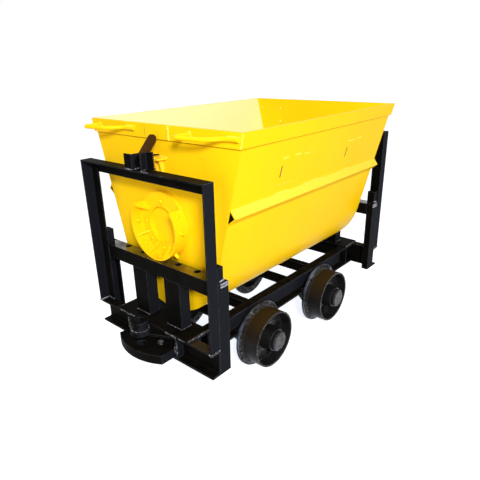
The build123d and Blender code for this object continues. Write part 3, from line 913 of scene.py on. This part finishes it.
def bolt_head(across, height):
    deselect()
    bpy.ops.mesh.primitive_cylinder_add(
        vertices=6,
        radius=across / math.sqrt(3),
        depth=height,
        location=(0, 0, height * HEAD_MIDDLE),
    )
    hexagon = bpy.context.object
    bpy.ops.object.mode_set(mode="EDIT")
    bpy.ops.mesh.select_all(action="DESELECT")
    bpy.ops.object.mode_set(mode="OBJECT")
    for face in hexagon.data.polygons:
        face.select = face.normal.z > 0.9
    bpy.ops.object.mode_set(mode="EDIT")
    bpy.ops.mesh.bevel(offset=height * HEAD_CHAMFER, segments=1)
    deselect()
    bpy.ops.mesh.primitive_cylinder_add(
        vertices=20,
        radius=across * WASHER_RADIUS,
        depth=height * WASHER_THICKNESS,
        location=(0, 0, height * WASHER_MIDDLE),
    )
    washer = bpy.context.object
    for part in (hexagon, washer):
        part.data.transform(part.matrix_world)
        part.matrix_world = Matrix.Identity(4)
    hexagon.select_set(True)
    bpy.context.view_layer.objects.active = hexagon
    bpy.ops.object.join()
    return bpy.context.object


BUMPER_TOP = far("bumpers").z
BUMPER_BOLT = (0.787, 0.071)
large = bolt_head(24 * MM, 13 * MM)
for end, s in ENDS.items():
    x, y = BUMPER_BOLT
    spots = [((s * x, t * y, BUMPER_TOP), (0, 0, 1)) for t in BOTH_SIDES]
    on_frame(f"bumper_bolts_{end}", copies(large, spots), BLACK_WELD)
discard(large)

# %% [markdown]
# Smaller bolts hold the axle seats to the sills' lower flanges, one stands out of each sill's web,
# and the latch lever turns on a pin with a head at its left end.

# %% Seat, sill and latch bolts
SILL_WEB_Y = near("sill_left").y + 7 * MM
SILL_FLANGE_TOP = near("sill_left").z + 9 * MM
SEAT_BOLT_Y = 0.233
SEAT_BOLT_REACH = 0.128
SILL_BOLT = (0.334, 0.265)
PIVOT = (0.757, 0.018, 1.127)
small = bolt_head(16 * MM, 9 * MM)
for end, s in ENDS.items():
    spots = []
    for t in BOTH_SIDES:
        for reach in (-SEAT_BOLT_REACH, SEAT_BOLT_REACH):
            seat_bolt = (s * (WHEEL_X + reach), t * SEAT_BOLT_Y, SILL_FLANGE_TOP)
            spots.append((seat_bolt, (0, 0, 1)))
        spots.append(((s * SILL_BOLT[0], t * SILL_WEB_Y, SILL_BOLT[1]), (0, t, 0)))
    spots.append((flip(PIVOT, s, 1), (0, 1, 0)))
    on_frame(f"frame_bolts_{end}", copies(small, spots), BLACK_STEEL)
discard(small)

# %% [markdown]
# ## Weld beads
# A hand laid bead is a row of overlapping ripples. One ripple is a ball pressed flat in edit mode;
# an array modifier lays it out along the seam, and every point is then nudged a little, because no
# welder is that regular. The finished row is turned to lie from its start to its end.

# %% Lay a bead
UNEVEN = 0.16
RIPPLE_THICKNESS = 0.75


def jitter(mesh, amount):
    """Nudges every point of a mesh by up to amount along each axis."""
    for point in mesh.vertices:
        point.co += Vector([random.uniform(-amount, amount) for axis in range(3)])


def ripple(size, detail):
    """One flattened ball at the origin, thin along Z."""
    deselect()
    bpy.ops.mesh.primitive_ico_sphere_add(subdivisions=detail, radius=size, location=(0, 0, 0))
    edit_all()
    bpy.ops.transform.resize(value=(1, 1, RIPPLE_THICKNESS))
    bpy.ops.object.mode_set(mode="OBJECT")
    return bpy.context.object


def bead(start, end, size, detail=2, uneven=UNEVEN):
    """Weld bead from start to end, its radius given in metres."""
    run = Vector(end) - Vector(start)
    row = ripple(size, detail)
    steps = max(1, round(run.length / size))
    laid = row.modifiers.new("ripples", "ARRAY")
    laid.use_relative_offset = False
    laid.use_constant_offset = True
    laid.constant_offset_displace = (0, 0, run.length / steps)
    laid.count = steps + 1
    bpy.ops.object.modifier_apply(modifier=laid.name)
    jitter(row.data, size * uneven)
    carry(row.data, start, run)
    return row


def ring_bead(centre, axis, radius, size):
    """Weld bead all the way round a circle, spun from one ripple that lies along it."""
    ring = ripple(size, detail=1)
    ring.data.transform(Matrix.Rotation(math.pi / 2, 4, "X"))
    ring.data.transform(Matrix.Translation((radius, 0, 0)))
    count = round(2 * math.pi * radius / size)
    edit_all()
    bpy.ops.mesh.spin(
        steps=count - 1,
        dupli=True,
        angle=2 * math.pi * (count - 1) / count,
        use_auto_merge=False,
        center=(0, 0, 0),
        axis=(0, 0, 1),
    )
    bpy.ops.object.mode_set(mode="OBJECT")
    jitter(ring.data, size * UNEVEN)
    carry(ring.data, centre, axis)
    return ring


print("beads ready")

# %% [markdown]
# A table of seams gives each seam once, in the front left quarter: where it runs in X, Y and Z, and
# the bead's radius. An axis along which the seam runs is a pair, the others are single numbers.

# %% Lay a table of seams
def seam(x, y, z, size):
    """Start, end and radius of a straight seam."""
    start, end = zip(*[axis if isinstance(axis, tuple) else (axis, axis) for axis in (x, y, z)])
    return start, end, size


def lay(seams, end, sides, detail=2, uneven=UNEVEN):
    """Beads along every seam of a table, at one end of the cart and on the given sides."""
    return [
        bead(flip(start, end, side), flip(stop, end, side), size, detail, uneven)
        for start, stop, size in seams
        for side in sides
    ]


print("seam helpers ready")

# %% [markdown]
# ## Welds on the frame
# The seams with the most painted glints are the three strokes that built up the stop lug on the
# short post's head and the bead across the long post's foot. The others are, in the table's order:
# cap plate, coupler plate and headstock (six), long post's foot (three), inner post's foot (two),
# and the axle seat's outer face where it meets the sill.

# %% Frame welds
POST_IN = WEB_X + 6 * MM
POST_OUT = WEB_X + 57 * MM
POST_Y = HALF_Y - 6 * MM
FOOT_Y = HALF_Y - 57 * MM
EDGE_Y = HALF_Y - MM
LUG_X = (WEB_X - 19 * MM, WEB_X - 61 * MM)
LUG_Z = (0.649, 0.661, 0.674)
RIB_Y = 0.170
BELOW_RIB_Y = RIB_Y - 6 * MM
COUPLER_Y = far("coupler_plates").y
FRAME_BEAD_Z = FRAME_TOP + 3 * MM
SEAT_FACE_Y = 0.249
PIN_X = CAP_X + 59 * MM
BOSS_FOOT_Z = FRAME_TOP + 13 * MM
BOSS_FOOT_R = 41 * MM
GLINTING_SEAMS = (
    seam(LUG_X, HALF_Y, LUG_Z[0], 0.0050),
    seam(LUG_X, HALF_Y, LUG_Z[1], 0.0042),
    seam((LUG_X[0], WEB_X - 0.042), HALF_Y - 0.004, (LUG_Z[2], LUG_Z[2] + 0.004), 0.0042),
    seam((POST_IN + 0.014, POST_OUT), POST_Y - 0.003, FRAME_TOP + 0.004, 0.0040),
)
FRAME_SEAMS = (
    seam((CAP_X - 0.008, CAP_X - 0.137), CAP_Y + 0.002, FRAME_BEAD_Z, 0.0055),
    seam(CAP_X + 0.001, (COUPLER_Y - 0.062, COUPLER_Y), FRAME_BEAD_Z, 0.0050),
    seam(TIP_X, (CAP_Y - 0.055, CAP_Y - 0.015), FRAME_TOP + 0.002, 0.0035),
    seam(TIP_X - 0.002, RIB_Y + 0.006, (FRAME_LOW + 0.030, FRAME_TOP - 0.025), 0.0040),
    seam(TIP_X - 0.002, BELOW_RIB_Y, (BUMPER_TOP - 0.018, BUMPER_TOP + 0.016), 0.0050),
    seam((WEB_X + 0.030, TIP_X - 0.004), RIB_Y - 0.012, BUMPER_TOP, 0.0040),
    seam((POST_IN, POST_OUT), EDGE_Y, FRAME_TOP + 0.002, 0.0055),
    seam((POST_IN + 0.003, POST_OUT), POST_Y - 0.002, FRAME_BEAD_Z, 0.0040),
    seam(POST_IN + 0.002, (POST_Y, FOOT_Y), FRAME_BEAD_Z, 0.0040),
    seam(WEB_X + 0.001, (INNER_Y - 0.098, INNER_Y), CAP_TOP + 0.001, 0.0028),
    seam((WEB_X, WEB_X - 0.058), INNER_Y + 0.001, CAP_TOP + 0.001, 0.0028),
    seam((WHEEL_X - 0.150, WHEEL_X + 0.150), SEAT_FACE_Y, FRAME_LOW - 0.001, 0.0035),
)
for end, s in ENDS.items():
    on_frame(f"glinting_welds_{end}", lay(GLINTING_SEAMS, s, BOTH_SIDES), GLINTING_WELD)
    group = lay(FRAME_SEAMS, s, BOTH_SIDES)
    group.append(ring_bead((s * PIN_X, 0, BOSS_FOOT_Z), (0, 0, 1), BOSS_FOOT_R, 0.004))
    on_frame(f"frame_welds_{end}", group, BLACK_WELD)

# %% [markdown]
# The latch's guide and clip stand on the top bar. The table has the guide's foot in two beads, the
# clip's foot in two, and a last short one along the top bar's edge.

# %% Latch bracket welds
LATCH_BEAD_Z = END_TOP + 2 * MM
BRACKET_SEAMS = (
    seam((0.786, 0.737), 0.014, LATCH_BEAD_Z, 0.0035),
    seam(0.786, (0.020, 0.060), LATCH_BEAD_Z, 0.0035),
    seam((0.744, 0.784), (-0.027, -0.047), LATCH_BEAD_Z, 0.0045),
    seam((0.739, 0.722), (-0.026, -0.058), LATCH_BEAD_Z, 0.0045),
    seam(0.787, (-0.048, -0.095), END_TOP + MM, 0.0030),
)
for end, s in ENDS.items():
    on_frame(f"latch_welds_{end}", lay(BRACKET_SEAMS, s, (1,)), BLACK_WELD)

# %% [markdown]
# ## Welds on the tub
# Under yellow paint a bead shows as a row of pale lights, painted in as pale highlights in its
# colour. The rim band has a wide seam on each end and a bead down every corner, the handles are
# welded at both ends and the catch along its root, with a rough tack below. Fainter beads take the
# plain yellow: round the ring casting and down the end wall's two edges. Corners and edges come on
# both sides; what isn't mirrored keeps its own Y.

# %% Tub welds
BAND_OUT = 9.3 * MM
BAND_SEAM_Y = -0.072
HANDLE_Y = (-0.333, 0.277)
HANDLE_Z = RIM_TOP - 26 * MM
HANDLE_BEAD = 3 * MM
HOOK = 0.134
HOOK_BEAD_R = 10.5 * MM
FOOT_BEAD_RUN = (4 * MM, 62 * MM)
FOOT_BEAD_Z = (HANDLE_Z - 8 * MM, HANDLE_Z + 8 * MM)
ROUGH = 0.25
ROUGHER = 0.3
CATCH_TOP = far("catch_front").z
CORNER_Z = (BAND_LOW + 0.005, RIM_TOP - 0.006)
CORNER_Y = tuple(side_y(z) + BAND_OUT - 0.003 for z in CORNER_Z)
EDGE_Z = (BAND_LOW - 0.003, RING_Z - 0.1)
WALL_EDGE_Y = tuple(side_y(z) - 0.001 for z in EDGE_Z)
CORNER_SEAM = [seam(BAND_X - 0.002, CORNER_Y, CORNER_Z, 0.0036)]
EDGE_SEAM = [seam(WALL_X - 0.002, WALL_EDGE_Y, EDGE_Z, 0.0022)]
BAND_SEAM = [seam(BAND_X - 0.004, BAND_SEAM_Y, (BAND_LOW + 0.005, RIM_TOP - 0.008), 0.0085)]
CATCH_TACK = [seam(WALL_X, -0.013, (1.071, 1.103), 0.005)]
CATCH_ROOT = [seam(WALL_X, (-0.044, 0.044), CATCH_TOP, 0.003)]
for end, s in ENDS.items():
    group = []
    faint = []
    for t in BOTH_SIDES:
        group += lay(CORNER_SEAM, s, (t,))
        faint += lay(EDGE_SEAM, s, (t,), detail=1)
    for y in HANDLE_Y:
        hook = (s * (BAND_X + 0.001), y + HOOK, HANDLE_Z)
        group.append(ring_bead(hook, (1, 0, 0), HOOK_BEAD_R, HANDLE_BEAD))
        foot_y = tuple(y - HOOK + step for step in FOOT_BEAD_RUN)
        feet = [seam(BAND_X + 0.002, foot_y, z, HANDLE_BEAD) for z in FOOT_BEAD_Z]
        group += lay(feet, s, (1,))
    group += lay(BAND_SEAM, s, (1,), uneven=ROUGH)
    group += lay(CATCH_TACK, s, (1,), uneven=ROUGHER)
    group += lay(CATCH_ROOT, s, (1,))
    faint.append(ring_bead((s * (WALL_X + 0.002), 0, RING_Z), (1, 0, 0), DRUM_R + MM, 0.0032))
    on_tub(f"tub_welds_{end}", group, YELLOW_WELD)
    on_tub(f"tub_seams_{end}", faint, YELLOW_STEEL)

# %% [markdown]
# ## Side panel details
# High on each side two narrow slots were closed again: left of each lies a dark slit of painted
# shadow, with short weld stitches above it and a fine seam below; the stitches carry pale painted
# highlights. The rails are stitched along their upper toe. A slit is a thin dark strip with rounded
# edges that leans as the side does; the same kind of strip, narrower, draws the hairline where the
# two halves of the rim band meet.

# %% Thin strips
def thin_strip(size, rounding, segments):
    """Box of the given size at the origin, with its edges rounded."""
    deselect()
    bpy.ops.mesh.primitive_cube_add(size=1, location=(0, 0, 0))
    edit_all()
    bpy.ops.transform.resize(value=size)
    bpy.ops.mesh.bevel(offset=rounding, segments=segments)
    bpy.ops.object.mode_set(mode="OBJECT")
    return bpy.context.object


def slit(x, z, length, side):
    """Upright dark strip of painted shadow, lying on the flared side."""
    strip = thin_strip((6.6 * MM, 1.2 * MM, length), 0.4 * MM, segments=2)
    lean = Matrix.Rotation(-side * math.atan(FLARE), 4, "X")
    strip.data.transform(Matrix.Translation((x, side * side_y(z), z)) @ lean)
    return strip


BAND_JOINT_Y = 0.080


def band_joint(end):
    """Hairline over the height of the rim band."""
    line = thin_strip((0.8 * MM, 1.8 * MM, RIM_TOP - BAND_LOW - 8 * MM), 0.3 * MM, segments=1)
    middle = (end * (BAND_X - 0.2 * MM), BAND_JOINT_Y, (RIM_TOP + BAND_LOW) / 2)
    line.data.transform(Matrix.Translation(middle))
    return line


print("strips ready")

# %% [markdown]
# The stitches are beads again. Their rows give where a stitch starts and ends along the cart, and,
# for those round the closed slots, also the height and the radius. A slit's row gives its place
# along the cart, its height and its length.

# %% Rail stitches, closed slots and band joints
RAIL_TOE_Z = 0.957
RAIL_STITCHES = ((-0.341, -0.251), (-0.107, 0.041), (0.259, 0.321))
SLOT_STITCHES = (
    (-0.333, -0.299, 1.118, 0.0042),
    (-0.243, -0.208, 1.119, 0.0048),
    (-0.168, -0.128, 1.112, 0.0028),
    (0.233, 0.290, 1.113, 0.0042),
    (0.321, 0.361, 1.116, 0.0042),
    (-0.339, -0.216, 0.997, 0.0014),
    (0.247, 0.343, 0.992, 0.0014),
)
SLITS = ((-0.3325, 1.059, 0.054), (0.2375, 1.056, 0.051))
GAP_DARK = (0.012, 0.010, 0.002, 1)
GAP_LIGHT = (0.05, 0.035, 0.005, 1)

# The slits take this dark as painted shadow; the band joints take it as a dark joint line.
gap = Finish("painted_slit_shadow_and_joint")
gap.feed(Base_Color=gap.blend(gap.noise(120, 4), GAP_DARK, GAP_LIGHT), Roughness=0.8)
toe_y = side_y(RAIL_TOE_Z) + MM
STITCHES = [seam(run, toe_y, RAIL_TOE_Z + MM, 0.0034) for run in RAIL_STITCHES]
STITCHES += [seam((x0, x1), side_y(z) - size * 0.3, z, size) for x0, x1, z, size in SLOT_STITCHES]
for side, t in SIDES.items():
    on_tub(f"side_stitches_{side}", lay(STITCHES, 1, (t,)), YELLOW_WELD)
    strips = [slit(x, z, length, t) for x, z, length in SLITS]
    on_tub(f"side_slits_{side}", strips, gap.material)
on_tub("band_joints", [band_joint(s) for s in ENDS.values()], gap.material)
